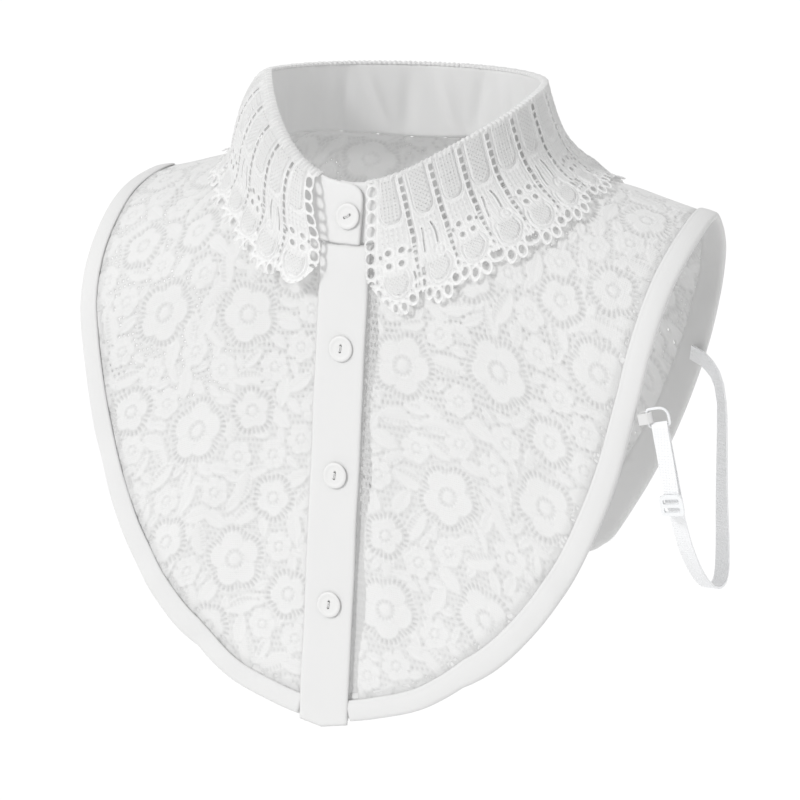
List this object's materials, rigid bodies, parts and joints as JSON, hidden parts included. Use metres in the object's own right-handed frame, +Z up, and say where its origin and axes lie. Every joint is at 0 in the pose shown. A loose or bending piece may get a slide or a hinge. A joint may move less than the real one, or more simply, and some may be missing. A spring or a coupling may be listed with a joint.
{
  "type": "lace collar",
  "caption": "Detachable lace false collar in worn form: floral lace front and back, guipure turn-down collar on a cotton stand, buttoned placket, bound edge and elastic side straps.",
  "frame": {"origin": "middle of the neck, level with the shoulder points of the neck seam, where the wearer's neck and shoulders hold the collar", "axes": "+Z up, -Y the front of the wearer, +X the wearer's left"},
  "size_m": [0.295, 0.1673, 0.2727],
  "materials": {
    "cotton": "plain woven cotton, matt",
    "lace": "floral lace on net, matt",
    "guipure": "heavy guipure lace, matt",
    "button": "polished",
    "elastic": "ribbed elastic band",
    "clear_plastic": "moulded, slightly milky"
  },
  "bodies": {
    "root": {"front_right": "lace", "front_left": "lace", "back": "lace", "binding_right": "cotton", "binding_left": "cotton", "placket": "cotton", "underlap": "cotton", "stand": "cotton", "fall_right": "guipure", "fall_left": "guipure", "button_1": "button", "button_2": "button", "button_3": "button", "button_4": "button", "strap_tab_right": "cotton", "strap_tab_left": "cotton", "ring_right": "clear_plastic", "ring_left": "clear_plastic", "slider_right": "clear_plastic", "slider_left": "clear_plastic", "strap_upper_right": "elastic", "strap_upper_left": "elastic", "strap_lower_right": "elastic", "strap_lower_left": "elastic"}
  },
  "joints": []
}
